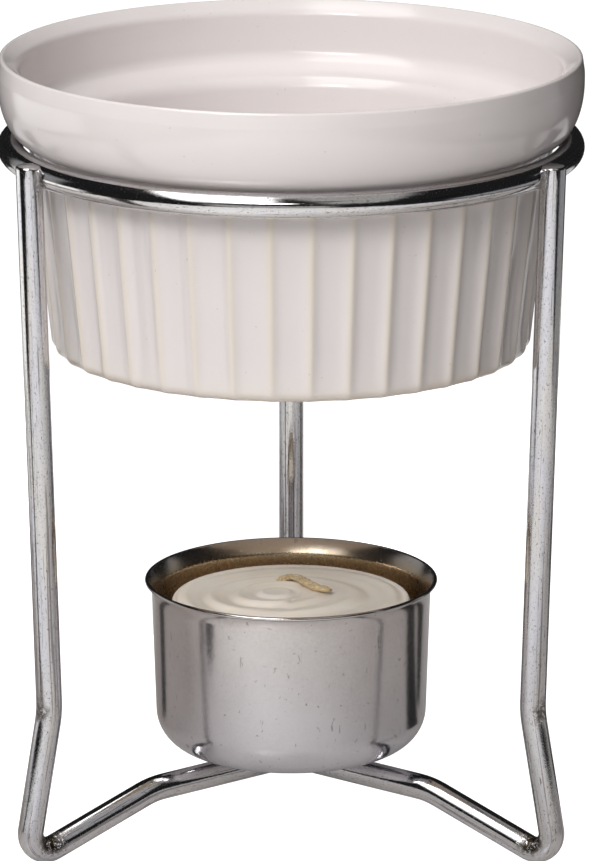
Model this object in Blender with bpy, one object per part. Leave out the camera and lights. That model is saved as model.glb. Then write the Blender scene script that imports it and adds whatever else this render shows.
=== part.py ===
"""Butter warmer: a fluted ceramic ramekin held over a tealight by a three-legged wire stand.

Metres, +Z up, feet on Z = 0, front of the object towards -Y.
"""

import math

import bmesh
import bpy
from mathutils import Vector

MM = 0.001
GAP = 0.3 * MM

# Round wire stand
WIRE_RADIUS = 2.0 * MM
WIRE_SIDES = 12
RING_RADIUS = 43.1 * MM
RING_HEIGHT = 108.7 * MM
RING_SEGMENTS = 72
LEG_ANGLES = {"rear": 90.0, "left": 210.0, "right": 330.0}
LEG_TOP = (45.5 * MM, 110.4 * MM)
LEG_KINK = (42.9 * MM, 24.1 * MM)
LEG_KINK_BEND = 18.0 * MM
FOOT_CORNER = (47.42 * MM, 0.15 * MM)
FOOT_BEND = 3.0 * MM
ARM_BEND_POINT = (24.9 * MM, 8.7 * MM)
ARM_BEND = 12.0 * MM
ARM_END = (3.0 * MM, 10.0 * MM)
FOOT_REACH = 48.4 * MM

# Ramekin
FLUTES = 40
FLUTE_DEPTH = 0.6 * MM
FLUTE_TOP = 109.0 * MM
FLUTE_FADE = 2.0 * MM
POT_BASE = 76.9 * MM
POT_BASE_CORNER = 2.0 * MM
POT_FOOT_INNER = 31.0 * MM
POT_BASE_RECESS = 0.8 * MM
BODY_HEIGHT = 95.0 * MM
BODY_RADIUS = 38.8 * MM
BODY_SLOPE = 0.105
BAND_CENTRE = (40.6 * MM, 119.0 * MM)
BAND_SIZE = (4.4 * MM, 8.7 * MM)
LIP_FOOT = (45.0 * MM, 120.4 * MM)
LIP_BEND = 3.0 * MM
RIM_EDGE = (44.58 * MM, 123.23 * MM)
RIM_EDGE_BEND = 0.45 * MM
RIM_INNER = (41.75 * MM, 121.25 * MM)
RIM_INNER_BEND = 1.2 * MM
LEDGE_TOP = (41.2 * MM, 114.0 * MM)
LEDGE_FOOT = (35.5 * MM, 111.3 * MM)
LEDGE_BEND = 2.5 * MM
BOWL_FLOOR = 81.0 * MM
BOWL_FLOOR_RADIUS = 33.0 * MM
BOWL_FLOOR_BEND = 5.0 * MM

# Candle cup, drawn from sheet
CUP_SHEET = 0.65 * MM
CUP_BASE = 12.4 * MM
CUP_CORNER = 6.0 * MM
CUP_LOWER_RADIUS = 21.2 * MM
CUP_UPPER_RADIUS = 21.8 * MM
CUP_NECK = 36.6 * MM
CUP_LIP = (22.55 * MM, 39.5 * MM)
CUP_SEGMENTS = 48

# Tealight
WAX_RADIUS = 18.64 * MM
WAX_BOTTOM = 14.9 * MM
WAX_TOP = 36.25 * MM
WAX_EDGE = 0.5 * MM
WICK_RADIUS = 0.75 * MM
WICK_LAID = 6.5 * MM
WICK_DIRECTION = 25.0
PLATE_RADIUS = 7.0 * MM
PLATE_SHEET = 0.4 * MM
NECK_HEIGHT = 3.5 * MM
NECK_SHEET = 0.3 * MM

# The stand's axis stands a little behind the middle of the outline, because the rear foot
# reaches further out than the ring does at the front.
AXIS_Y = -(FOOT_REACH - (RING_RADIUS + WIRE_RADIUS)) / 2


def clear_scene():
    for old in list(bpy.data.objects):
        bpy.data.objects.remove(old, do_unlink=True)


def material(name, colour, roughness, metallic):
    made = bpy.data.materials.new(name)
    made.use_nodes = True
    shader = made.node_tree.nodes["Principled BSDF"]
    shader.inputs["Base Color"].default_value = (*colour, 1.0)
    shader.inputs["Roughness"].default_value = roughness
    shader.inputs["Metallic"].default_value = metallic
    return made


def empty(name, parent=None, location=(0.0, 0.0, 0.0)):
    made = bpy.data.objects.new(name, None)
    made.empty_display_size = 0.02
    made.location = location
    made.parent = parent
    bpy.context.scene.collection.objects.link(made)
    return made


def node(name, mesh_data, surface, parent, turn=0.0):
    """One smooth-shaded object from a bmesh, turned about the parent's Z axis by degrees."""
    mesh = bpy.data.meshes.new(name)
    bmesh.ops.recalc_face_normals(mesh_data, faces=mesh_data.faces)
    mesh_data.to_mesh(mesh)
    mesh_data.free()
    mesh.shade_smooth()
    mesh.set_sharp_from_angle(angle=math.radians(35))
    mesh.materials.append(surface)
    made = bpy.data.objects.new(name, mesh)
    made.rotation_euler.z = math.radians(turn)
    made.parent = parent
    bpy.context.scene.collection.objects.link(made)
    return made


def arc(centre, size, start, end, steps):
    """Points on an ellipse quarter or part of one, from start to end degrees."""
    points = []
    for step in range(steps + 1):
        angle = math.radians(start + (end - start) * step / steps)
        points.append((centre[0] + size[0] * math.cos(angle), centre[1] + size[1] * math.sin(angle)))
    return points


def rounded(corners, bends, degrees_a_step):
    """A line through corners, each inner one rounded to its bend radius in even steps."""
    points = [corners[0]]
    for before, corner, after, bend in zip(corners, corners[1:], corners[2:], bends):
        here = Vector(corner)
        back = (Vector(before) - here).normalized()
        ahead = (Vector(after) - here).normalized()
        half = back.angle(ahead) / 2
        centre = here + (back + ahead).normalized() * bend / math.sin(half)
        first = here + back * bend / math.tan(half) - centre
        last = here + ahead * bend / math.tan(half) - centre
        sweep = first.angle_signed(last)
        steps = max(2, round(math.degrees(abs(sweep)) / degrees_a_step))
        for step in range(steps + 1):
            angle = -sweep * step / steps
            turned = Vector((
                first.x * math.cos(angle) - first.y * math.sin(angle),
                first.x * math.sin(angle) + first.y * math.cos(angle),
            ))
            points.append(tuple(centre + turned))
    points.append(corners[-1])
    return points


def lathe(outline, segments, closed=False, radius_at=None):
    """Turn an outline of (radius, height) about Z. An open one starts and ends on the axis."""
    built = bmesh.new()
    rows = []
    for radius, height in outline:
        if radius < 1e-7:
            rows.append([built.verts.new((0.0, 0.0, height))])
            continue
        row = []
        for segment in range(segments):
            angle = 2 * math.pi * segment / segments
            reach = radius_at(segment, radius, height) if radius_at else radius
            row.append(built.verts.new((reach * math.cos(angle), reach * math.sin(angle), height)))
        rows.append(row)
    pairs = list(zip(rows, rows[1:]))
    if closed:
        pairs.append((rows[-1], rows[0]))
    for low, high in pairs:
        for segment in range(segments):
            after = (segment + 1) % segments
            corners = [low[segment % len(low)], low[after % len(low)]]
            corners += [high[after % len(high)], high[segment % len(high)]]
            built.faces.new(list(dict.fromkeys(corners)))
    return built


def wire(path, radius, sides):
    """A round wire along a line of (x, z) points in the XZ plane, with flat ends."""
    built = bmesh.new()
    rows = []
    for index, (x, z) in enumerate(path):
        before = Vector(path[max(index - 1, 0)])
        after = Vector(path[min(index + 1, len(path) - 1)])
        along = (after - before).normalized()
        across = Vector((-along.y, along.x))
        row = []
        for side in range(sides):
            angle = 2 * math.pi * (side + 0.5) / sides
            lift = radius * math.cos(angle)
            place = (x + across.x * lift, radius * math.sin(angle), z + across.y * lift)
            row.append(built.verts.new(place))
        rows.append(row)
    for low, high in zip(rows, rows[1:]):
        for side in range(sides):
            after = (side + 1) % sides
            built.faces.new((low[side], low[after], high[after], high[side]))
    built.faces.new(rows[0])
    built.faces.new(rows[-1][::-1])
    return built


def wear_flat(built, height):
    """Cut a shape off level at this height and close it, as a worn foot is."""
    everything = built.verts[:] + built.edges[:] + built.faces[:]
    bmesh.ops.bisect_plane(
        built, geom=everything, plane_co=(0, 0, height), plane_no=(0, 0, -1), clear_outer=True
    )
    rim = [edge for edge in built.edges if edge.is_boundary]
    bmesh.ops.edgeloop_fill(built, edges=rim)
    return built


def bead(size, place):
    """A small rounded nugget of weld, as an ellipsoid."""
    built = bmesh.new()
    bmesh.ops.create_icosphere(built, subdivisions=2, radius=1.0)
    for vertex in built.verts:
        vertex.co = Vector(a * b for a, b in zip(vertex.co, size)) + Vector(place)
    return built


def body_radius(height):
    return BODY_RADIUS + BODY_SLOPE * (height - BODY_HEIGHT)


def ramekin_outline():
    corner_radius = body_radius(POT_BASE + POT_BASE_CORNER)
    corner = (corner_radius - POT_BASE_CORNER, POT_BASE + POT_BASE_CORNER)
    outline = [(0.0, POT_BASE + POT_BASE_RECESS), (POT_FOOT_INNER, POT_BASE + POT_BASE_RECESS)]
    outline += [(POT_FOOT_INNER + POT_BASE_RECESS, POT_BASE)]
    outline += arc(corner, (POT_BASE_CORNER, POT_BASE_CORNER), -90, 0, 4)
    outline += [(body_radius(BODY_HEIGHT), BODY_HEIGHT)]
    outline += [(body_radius(FLUTE_TOP - FLUTE_FADE), FLUTE_TOP - FLUTE_FADE)]
    outline += [(body_radius(FLUTE_TOP), FLUTE_TOP)]
    outline += arc(BAND_CENTRE, BAND_SIZE, -86, -2, 6)
    inner = [
        (BAND_CENTRE[0] + BAND_SIZE[0], BAND_CENTRE[1]),
        LIP_FOOT,
        RIM_EDGE,
        RIM_INNER,
        LEDGE_TOP,
        LEDGE_FOOT,
        (BOWL_FLOOR_RADIUS, BOWL_FLOOR),
        (0.0, BOWL_FLOOR),
    ]
    bends = (LIP_BEND, RIM_EDGE_BEND, RIM_INNER_BEND, LEDGE_BEND, LEDGE_BEND, BOWL_FLOOR_BEND)
    outline += rounded(inner, bends, 24)
    return outline


def fluted(segment, radius, height):
    """Every other vertex column of the outer body below the band sits in a flute."""
    outside = radius > body_radius(height) - POT_BASE_CORNER * 0.9
    if segment % 2 or height > FLUTE_TOP or not outside or radius < POT_FOOT_INNER + 2 * MM:
        return radius
    fade = min(1.0, (FLUTE_TOP - height) / FLUTE_FADE)
    return radius - FLUTE_DEPTH * fade


def cup_outline():
    """The outer face up to the lip, then the inner face one sheet thickness in."""
    corner = (CUP_LOWER_RADIUS - CUP_CORNER, CUP_BASE + CUP_CORNER)
    outer = [(0.0, CUP_BASE)] + arc(corner, (CUP_CORNER, CUP_CORNER), -90, 0, 5)
    outer += [(CUP_UPPER_RADIUS, CUP_NECK), (CUP_UPPER_RADIUS + 0.35 * MM, CUP_NECK + 1.6 * MM)]
    outer += [(CUP_LIP[0] + CUP_SHEET / 2, CUP_LIP[1] - CUP_SHEET / 2)]
    inside = CUP_CORNER - CUP_SHEET
    inner = [(CUP_LIP[0], CUP_LIP[1])]
    inner += [(CUP_UPPER_RADIUS - CUP_SHEET + 0.35 * MM, CUP_NECK + 1.9 * MM)]
    inner += [(CUP_UPPER_RADIUS - CUP_SHEET, CUP_NECK)]
    inner += arc(corner, (inside, inside), 0, -90, 5) + [(0.0, CUP_BASE + CUP_SHEET)]
    return outer + inner


def wax_outline():
    """The wax has a recess for the plate, a bore for its neck and a finer one for the wick."""
    bore = WICK_RADIUS + GAP
    neck_bore = bore + NECK_SHEET + GAP
    plate_recess = WAX_BOTTOM + PLATE_SHEET + GAP
    neck_top = WAX_BOTTOM + PLATE_SHEET + NECK_HEIGHT + GAP
    edge = (WAX_RADIUS - WAX_EDGE, WAX_TOP - WAX_EDGE)
    outline = [(PLATE_RADIUS + GAP, WAX_BOTTOM)]
    outline += arc((edge[0], WAX_BOTTOM + WAX_EDGE), (WAX_EDGE, WAX_EDGE), -90, 0, 2)
    outline += arc(edge, (WAX_EDGE, WAX_EDGE), 0, 90, 2)
    outline += [(bore, WAX_TOP), (bore, neck_top), (neck_bore, neck_top)]
    outline += [(neck_bore, plate_recess), (PLATE_RADIUS + GAP, plate_recess)]
    return outline


def plate_outline():
    bore = WICK_RADIUS + GAP
    top = WAX_BOTTOM + PLATE_SHEET
    return [
        (bore, WAX_BOTTOM),
        (PLATE_RADIUS, WAX_BOTTOM),
        (PLATE_RADIUS, top),
        (bore + NECK_SHEET, top),
        (bore + NECK_SHEET, top + NECK_HEIGHT),
        (bore, top + NECK_HEIGHT),
    ]


def leg_path():
    corners = [LEG_TOP, LEG_KINK, FOOT_CORNER, ARM_BEND_POINT, ARM_END]
    return rounded(corners, (LEG_KINK_BEND, FOOT_BEND, ARM_BEND), 9)


def add_stand(parent, chrome, steel):
    ring_centre = (RING_RADIUS, RING_HEIGHT)
    ring = arc(ring_centre, (WIRE_RADIUS, WIRE_RADIUS), 0, 330, WIRE_SIDES - 1)
    node("support_ring", lathe(ring, RING_SEGMENTS, closed=True), chrome, parent)

    clearance = WIRE_RADIUS + GAP + 0.05 * MM
    notch = arc(ring_centre, (clearance, clearance), 0, 337.5, 15)
    cutter = node("ring_notch_cutter", lathe(notch, RING_SEGMENTS, closed=True), chrome, parent)
    cutter.hide_render = True
    cutter.display_type = "WIRE"

    weld_size = (0.45 * MM, 0.45 * MM, 1.7 * MM)
    weld_reach = WIRE_RADIUS + GAP + weld_size[0] + 0.02 * MM
    leg_radius = LEG_TOP[0] - 0.05 * MM
    out = RING_RADIUS + weld_reach
    side = math.sqrt(weld_reach**2 - (out - leg_radius) ** 2)
    for place, angle in LEG_ANGLES.items():
        foot = wear_flat(wire(leg_path(), WIRE_RADIUS, WIRE_SIDES), 0.0)
        leg = node("leg_" + place, foot, chrome, parent, angle)
        coping = leg.modifiers.new("coping", "BOOLEAN")
        coping.operation = "DIFFERENCE"
        coping.solver = "EXACT"
        coping.object = cutter
        for name, way in (("a", 1), ("b", -1)):
            nugget = bead(weld_size, (out, way * side, RING_HEIGHT))
            node("ring_weld_" + place + "_" + name, nugget, chrome, parent, angle)

    node("candle_cup", lathe(cup_outline(), CUP_SEGMENTS), steel, parent)
    spot_size = (1.6 * MM, 0.4 * MM, 0.4 * MM)
    spot = (9.0 * MM, 2.35 * MM, CUP_BASE - GAP - spot_size[2])
    for place, angle in LEG_ANGLES.items():
        node("cup_weld_" + place, bead(spot_size, spot), steel, parent, angle)


def add_pot(parent, glaze):
    outline = ramekin_outline()
    node("ramekin", lathe(outline, 2 * FLUTES, radius_at=fluted), glaze, parent)


def add_candle(parent, wax, cotton, tin):
    node("tealight_wax", lathe(wax_outline(), 36, closed=True), wax, parent)
    node("wick_sustainer", lathe(plate_outline(), 20, closed=True), tin, parent)
    lying = WAX_TOP + GAP + WICK_RADIUS
    corners = [(0.0, WAX_BOTTOM + GAP), (0.0, lying), (WICK_LAID, lying)]
    path = rounded(corners, (WICK_RADIUS * 1.2,), 22)
    node("wick", wire(path, WICK_RADIUS, 8), cotton, parent, WICK_DIRECTION)


def main():
    clear_scene()
    chrome = material("chrome_wire", (0.72, 0.71, 0.72), 0.12, 1.0)
    steel = material("satin_steel", (0.60, 0.58, 0.60), 0.32, 1.0)
    glaze = material("white_glaze", (0.78, 0.73, 0.70), 0.10, 0.0)
    wax = material("beige_wax", (0.72, 0.63, 0.52), 0.45, 0.0)
    cotton = material("wick_cotton", (0.62, 0.50, 0.34), 0.90, 0.0)
    tin = material("tinned_plate", (0.66, 0.66, 0.67), 0.30, 1.0)

    assembly = empty("assembly", location=(0.0, AXIS_Y, 0.0))
    add_stand(empty("stand", assembly), chrome, steel)
    add_pot(empty("pot_lift", assembly), glaze)
    add_candle(empty("candle_lift", assembly), wax, cotton, tin)


main()
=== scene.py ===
"""Looks of the butter warmer: glazed ramekin, chromed wire stand, satin cup and tealight.

Lengths are in metres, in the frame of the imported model. Shapes are built about the stand's own
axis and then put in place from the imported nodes' boxes.
"""

import math

import bpy
from mathutils import Matrix, Vector, noise


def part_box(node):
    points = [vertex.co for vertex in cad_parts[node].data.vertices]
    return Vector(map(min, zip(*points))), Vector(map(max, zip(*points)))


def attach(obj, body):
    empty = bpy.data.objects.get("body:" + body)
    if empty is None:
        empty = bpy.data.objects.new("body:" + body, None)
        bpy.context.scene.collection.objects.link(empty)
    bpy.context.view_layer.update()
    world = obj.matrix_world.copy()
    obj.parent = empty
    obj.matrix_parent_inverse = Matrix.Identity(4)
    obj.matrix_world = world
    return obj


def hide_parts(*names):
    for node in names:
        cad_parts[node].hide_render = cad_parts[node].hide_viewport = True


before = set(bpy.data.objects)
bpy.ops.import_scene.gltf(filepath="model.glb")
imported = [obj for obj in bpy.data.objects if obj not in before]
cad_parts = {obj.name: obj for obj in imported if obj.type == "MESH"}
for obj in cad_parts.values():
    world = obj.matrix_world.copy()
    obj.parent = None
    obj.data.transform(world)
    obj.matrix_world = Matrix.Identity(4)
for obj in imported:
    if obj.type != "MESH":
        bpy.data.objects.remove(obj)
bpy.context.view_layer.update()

MM = 0.001

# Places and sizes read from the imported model
ring_low, ring_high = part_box("support_ring")
pot_low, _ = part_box("ramekin")
cup_low, cup_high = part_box("candle_cup")
wax_low, wax_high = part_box("tealight_wax")
plate_low, plate_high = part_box("wick_sustainer")
AXIS = Vector(((ring_low.x + ring_high.x) / 2, (ring_low.y + ring_high.y) / 2, 0.0))
WIRE_RADIUS = (ring_high.z - ring_low.z) / 2
RING_RADIUS = (ring_high.x - ring_low.x) / 2 - WIRE_RADIUS
RING_HEIGHT = (ring_high.z + ring_low.z) / 2
POT_BASE = pot_low.z
CUP_BASE = cup_low.z
CUP_LIP_RADIUS = (cup_high.x - cup_low.x) / 2
CUP_LIP_TOP = cup_high.z
WAX_RADIUS = (wax_high.x - wax_low.x) / 2
WAX_BOTTOM = wax_low.z
WAX_TOP = wax_high.z
PLATE_RADIUS = (plate_high.x - plate_low.x) / 2

# Ring and legs: places are (distance from the axis, height)
LEG_ANGLES = {"rear": 90.0, "left": 210.0, "right": 330.0}
LEG_TOP = (45.45 * MM, 110.3 * MM)
LEG_KINK = (42.9 * MM, 24.1 * MM)
LEG_KINK_BEND = 16.0 * MM
FOOT_CORNER = (47.33 * MM, 0.22 * MM)
FOOT_BEND = 3.0 * MM
FOOT_CROOK = (43.6 * MM, 3.7 * MM)
LEG_HOLLOW = (45.4 * MM, 24.6 * MM)
ARM_BEND_POINT = (24.9 * MM, 8.7 * MM)
ARM_BEND = 12.0 * MM
ARM_END = (2.9 * MM, 10.1 * MM)
# baked-on dirt is full within the first distance and ends at the second
FOOT_DIRT = (1.3 * MM, 2.9 * MM)
HOLLOW_DIRT = (1.0 * MM, 1.9 * MM)
HOLLOW_DIRT_SHARE = 0.7
LEG_STRETCH = 2.0 * MM
WIRE_SIDES = 36
RING_SEGMENTS = 360
CUT_ROUNDING = 0.35 * MM
# the leg's first stretch is divided in this many, and this many points of it make the rounding
CUT_DIVISIONS = 40
CUT_STEPS = 8

# Welds: places are (distance from the axis, to the side, height), sizes are half lengths
RING_WELD = (LEG_TOP[0] - 0.3 * MM, 2.15 * MM, RING_HEIGHT - 0.6 * MM)
RING_WELD_SIZE = (0.55 * MM, 0.42 * MM, 1.75 * MM)
RING_WELD_DIRT = 0.7
CUP_WELD = (9.0 * MM, 1.2 * MM, CUP_BASE - 0.5 * MM)
CUP_WELD_SIZE = (1.7 * MM, 1.0 * MM, 0.55 * MM)
CUP_WELD_HEAT = 0.15
# a weld's skin, in broad lumps and small bumps: how high they are as a share of its size, and
# how close; and how fine the wire's marks are on it, to the metre
WELD_LUMPS = (0.22, 1.7)
WELD_BUMPS = (0.10, 4.5)
WELD_GRAIN = 300

# Ramekin: places are (distance from the axis, height)
FLUTES = 40
FLUTE_SEGMENTS = 22
FLUTE_DEPTH = 0.66 * MM
FLUTE_TOP = 109.6 * MM
FLUTE_FADE = 2.0 * MM
FLUTE_POWER = 2.9
RIDGE_START = 0.84
# what is no further than this inside the body's line is its fluted outer skin
FLUTE_SKIN = 1.9 * MM
# flutes have this share of their depth up to the first height above the base, and all of it
# from the second
FLUTE_LOW_SHARE = 0.45
FLUTE_LOW = (0.5 * MM, 5.0 * MM)
# the glaze thins between these places on the way from a flute's middle, 0, to a ridge, 1
RIDGE_GLAZE = (0.62, 0.97)
RIDGE_THIN = 0.75
# heights above the base: from where down to where the glaze thins, then where the clay shows,
# and what is bare underneath
EDGE_GLAZE = (3.2 * MM, 0.2 * MM)
EDGE_THIN = 0.8
EDGE_BARE = (0.5 * MM, 0.1 * MM)
UNDER_BARE = 1.2 * MM
BASE_CORNER = 2.0 * MM
FOOT_INNER = 31.0 * MM
FOOT_STEP = 0.6 * MM
FOOT_STEP_BEND = 0.5 * MM
BASE_RECESS = 0.8 * MM
BODY_HEIGHT = 95.0 * MM
BODY_RADIUS = 38.8 * MM
BODY_SLOPE = 0.105
BAND_CENTRE = (40.6 * MM, 119.0 * MM)
BAND_SIZE = (4.4 * MM, 8.7 * MM)
BAND_ARC = (-84, -2)
LIP_FOOT = (45.0 * MM, 120.4 * MM)
LIP_BEND = 3.0 * MM
RIM_EDGE = (44.58 * MM, 123.2 * MM)
RIM_EDGE_BEND = 0.45 * MM
RIM_INNER = (41.75 * MM, 121.25 * MM)
RIM_INNER_BEND = 1.7 * MM
LEDGE_TOP = (41.2 * MM, 114.0 * MM)
LEDGE_FOOT = (35.5 * MM, 111.3 * MM)
LEDGE_BEND = 2.6 * MM
BOWL_FLOOR = 81.0 * MM
BOWL_FLOOR_RADIUS = 33.0 * MM
BOWL_FLOOR_BEND = 5.0 * MM
GLAZE_WAVE = 0.03 * MM
GLAZE_WAVES = 1.4
POT_STRETCH = 3.5 * MM

# Candle cup
CUP_SHEET = 0.65 * MM
CUP_CORNER = 6.0 * MM
CUP_LOWER_RADIUS = 21.2 * MM
CUP_UPPER_RADIUS = 21.8 * MM
CUP_NECK = 36.8 * MM
# the lip: part of an ellipse outside, in degrees, and inside a flare in degrees off upright, the
# size of its bend, and how far below the neck the wall's straight stretch ends
LIP_CURVE = (175, 118)
LIP_FLARE_ANGLE = 27.0
LIP_FLARE_BEND = 1.4 * MM
LIP_FLARE_DROP = 3.5 * MM
CUP_HEAT = 0.75
CUP_HEAT_START = 0.5 * MM
CUP_SEGMENTS = 256
CUP_STRETCH = 2.5 * MM

# Tealight
WAX_EDGE = 0.7 * MM
WAX_CENTRE = (-2.6 * MM, 5.0 * MM)
WAX_SEGMENTS = 180
WAX_STRETCH = 0.3 * MM
# across the top, places and spacings are shares of the puck's radius; the rings have a second,
# finer wave, wander, and are uneven in height
WAX_CENTRE_FADE = (0.3, 0.95)
WAX_RING_HEIGHT = 0.26 * MM
WAX_RING_SPACING = 0.26
WAX_RING_START = 0.34
WAX_RING_SECOND = 0.35
WAX_RING_WANDER = 0.05
WAX_RING_UNEVEN = 0.8
WAX_RING_ENDS = ((0.06, 0.20), (0.99, 0.88))
WAX_UNEVEN = 0.08 * MM
WAX_DISH = 0.35 * MM
WAX_DISH_SLOPE = (0.95, 0.55)
WAX_SINK = 0.30 * MM
PLATE_GAP = 0.2 * MM
PLATE_SHEET = 0.4 * MM
NECK_HOLE = 1.6 * MM
NECK_HOLE_TOP = 4.3 * MM
NECK_HEIGHT = 3.5 * MM
NECK_RADII = (1.05 * MM, 1.35 * MM)
PLATE_SEGMENTS = 96
WICK_WIDTH = 1.9 * MM
WICK_THICKNESS = 0.9 * MM
WICK_SIDES = 20
WICK_STEPS = 14
# its start above the wax's bottom, and how far below the wax's top it is sunk and then laid
WICK_START = 0.3 * MM
WICK_SUNK = 1.6 * MM
WICK_LAID = 0.15 * MM
# the wick narrows to this share over so many steps at its end
WICK_END_SHARE = 0.45
WICK_END_STEPS = 6
# the wick's two twists: how many strands, radians a metre, and share of the thickness
WICK_TWISTS = ((3, 2400, 0.10), (5, -3100, 0.06))


def smooth_step(low, high, value):
    """0 at low, 1 at high, and eased between; low may be the greater."""
    share = min(1.0, max(0.0, (value - low) / (high - low)))
    return share * share * (3 - 2 * share)


def arc(centre, size, start, end, steps):
    """Points on part of an ellipse, from start to end degrees."""
    points = []
    for step in range(steps + 1):
        angle = math.radians(start + (end - start) * step / steps)
        points.append((centre[0] + size[0] * math.cos(angle), centre[1] + size[1] * math.sin(angle)))
    return points


def rounded(corners, bends, degrees_a_step):
    """A line through corners, each inner one rounded to its bend radius in even steps."""
    points = [corners[0]]
    for before, corner, after, bend in zip(corners, corners[1:], corners[2:], bends):
        here = Vector(corner)
        back = (Vector(before) - here).normalized()
        ahead = (Vector(after) - here).normalized()
        half = back.angle(ahead) / 2
        centre = here + (back + ahead).normalized() * bend / math.sin(half)
        first = here + back * bend / math.tan(half) - centre
        last = here + ahead * bend / math.tan(half) - centre
        sweep = first.angle_signed(last)
        steps = max(2, round(math.degrees(abs(sweep)) / degrees_a_step))
        for step in range(steps + 1):
            angle = -sweep * step / steps
            turned = Vector((
                first.x * math.cos(angle) - first.y * math.sin(angle),
                first.x * math.sin(angle) + first.y * math.cos(angle),
            ))
            points.append(tuple(centre + turned))
    points.append(corners[-1])
    return points


def divided(points, longest):
    """The same line with points added so that no stretch is longer than this."""
    made = [points[0]]
    for start, end in zip(points, points[1:]):
        length = math.dist(start, end)
        steps = max(1, math.ceil(length / longest))
        for step in range(1, steps + 1):
            share = step / steps
            made.append(tuple(a + (b - a) * share for a, b in zip(start, end)))
    return made


def set_attribute(mesh, label, values):
    layer = mesh.attributes.new(label, "FLOAT_VECTOR", "POINT")
    layer.data.foreach_set("vector", [number for value in values for number in value])


def mesh_object(name, points, faces, surface, attributes=()):
    mesh = bpy.data.meshes.new(name)
    mesh.from_pydata(points, [], faces)
    mesh.update()
    mesh.shade_smooth()
    mesh.materials.append(surface)
    for label, values in attributes:
        set_attribute(mesh, label, values)
    made = bpy.data.objects.new(name, mesh)
    bpy.context.scene.collection.objects.link(made)
    return made


def plain(angle, radius, height):
    """The shape of a turned piece that is the same all round."""
    return radius, height, (0.0, 0.0, 0.0)


def lathe(name, outline, segments, surface, closed=False, shape=plain):
    """Turn an outline of (radius, height) about the stand's axis. shape(angle, radius, height)
    returns the radius and height there, and a vector kept as the attribute "finish"."""
    points, finish, rows, faces = [], [], [], []
    for radius, height in outline:
        count = 1 if radius < 1e-7 else segments
        rows.append((len(points), count))
        for segment in range(count):
            angle = 2 * math.pi * segment / segments
            reach, level, mark = shape(angle, radius, height)
            points.append((AXIS.x + reach * math.cos(angle), AXIS.y + reach * math.sin(angle), level))
            finish.append(mark)
    pairs = list(zip(rows, rows[1:]))
    if closed:
        pairs.append((rows[-1], rows[0]))
    for (low, low_count), (high, high_count) in pairs:
        for segment in range(segments):
            after = (segment + 1) % segments
            corners = [low + segment % low_count, low + after % low_count]
            corners += [high + after % high_count, high + segment % high_count]
            faces.append(list(dict.fromkeys(corners)))
    return mesh_object(name, points, faces, surface, [("finish", finish)])


def sweep(name, path, radius_at, sides, surface, turn):
    """A round wire along (x, z) points in a plane through the axis, turned by degrees about it.
    radius_at(length) returns the wire's radius there."""
    points, along, faces = [], [], []
    spin = math.radians(turn)
    length = 0.0
    for index, (x, z) in enumerate(path):
        before = Vector(path[max(index - 1, 0)])
        after = Vector(path[min(index + 1, len(path) - 1)])
        length += math.dist(path[max(index - 1, 0)], (x, z))
        forward = (after - before).normalized()
        across = Vector((-forward.y, forward.x))
        radius = radius_at(length)
        for side in range(sides):
            angle = 2 * math.pi * side / sides
            lift, out = radius * math.cos(angle), radius * math.sin(angle)
            place = Vector((x + across.x * lift, out, z + across.y * lift))
            points.append((
                AXIS.x + place.x * math.cos(spin) - place.y * math.sin(spin),
                AXIS.y + place.x * math.sin(spin) + place.y * math.cos(spin),
                place.z,
            ))
            along.append((math.cos(angle), math.sin(angle), length))
    for row in range(len(path) - 1):
        for side in range(sides):
            after = (side + 1) % sides
            low, high = row * sides, (row + 1) * sides
            faces.append((low + after, low + side, high + side, high + after))
    faces.append(list(range(sides)))
    last = (len(path) - 1) * sides
    faces.append([last + side for side in reversed(range(sides))])
    return mesh_object(name, points, faces, surface, [("wire", along)])


# Materials

def new_material(name):
    made = bpy.data.materials.new(name)
    made.use_nodes = True
    tree = made.node_tree
    return made, tree, tree.nodes["Principled BSDF"]


def add(tree, kind, **settings):
    made = tree.nodes.new(kind)
    for key, value in settings.items():
        if key in made.inputs:
            made.inputs[key].default_value = value
        else:
            setattr(made, key, value)
    return made


def noise_node(tree, vector, scale, detail, roughness=0.55):
    made = add(tree, "ShaderNodeTexNoise")
    made.inputs["Scale"].default_value = scale
    made.inputs["Detail"].default_value = detail
    made.inputs["Roughness"].default_value = roughness
    tree.links.new(vector, made.inputs["Vector"])
    return made.outputs["Fac"]


def ramp(tree, value, stops):
    """The value from stops 0 to 1 spread over stops 2 to 3, and held at its ends."""
    made = add(tree, "ShaderNodeMapRange")
    made.inputs["From Min"].default_value = stops[0]
    made.inputs["From Max"].default_value = stops[1]
    made.inputs["To Min"].default_value = stops[2]
    made.inputs["To Max"].default_value = stops[3]
    tree.links.new(value, made.inputs["Value"])
    return made.outputs["Result"]


def mixed(tree, share, first, second):
    """A colour between two, each a socket or a tuple."""
    made = add(tree, "ShaderNodeMix", data_type="RGBA")
    tree.links.new(share, made.inputs["Factor"])
    for socket, colour in ((made.inputs[6], first), (made.inputs[7], second)):
        if isinstance(colour, tuple):
            socket.default_value = (*colour, 1.0)
        else:
            tree.links.new(colour, socket)
    return made.outputs[2]


def maths(tree, operation, first, second):
    made = add(tree, "ShaderNodeMath", operation=operation)
    for socket, value in zip(made.inputs, (first, second)):
        if isinstance(value, (int, float)):
            socket.default_value = value
        else:
            tree.links.new(value, socket)
    return made.outputs[0]


def bump(tree, height, strength, distance, normal=None):
    made = add(tree, "ShaderNodeBump")
    made.inputs["Strength"].default_value = strength
    made.inputs["Distance"].default_value = distance
    tree.links.new(height, made.inputs["Height"])
    if normal is not None:
        tree.links.new(normal, made.inputs["Normal"])
    return made.outputs["Normal"]


def attribute(tree, name):
    return add(tree, "ShaderNodeAttribute", attribute_name=name).outputs["Vector"]


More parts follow.
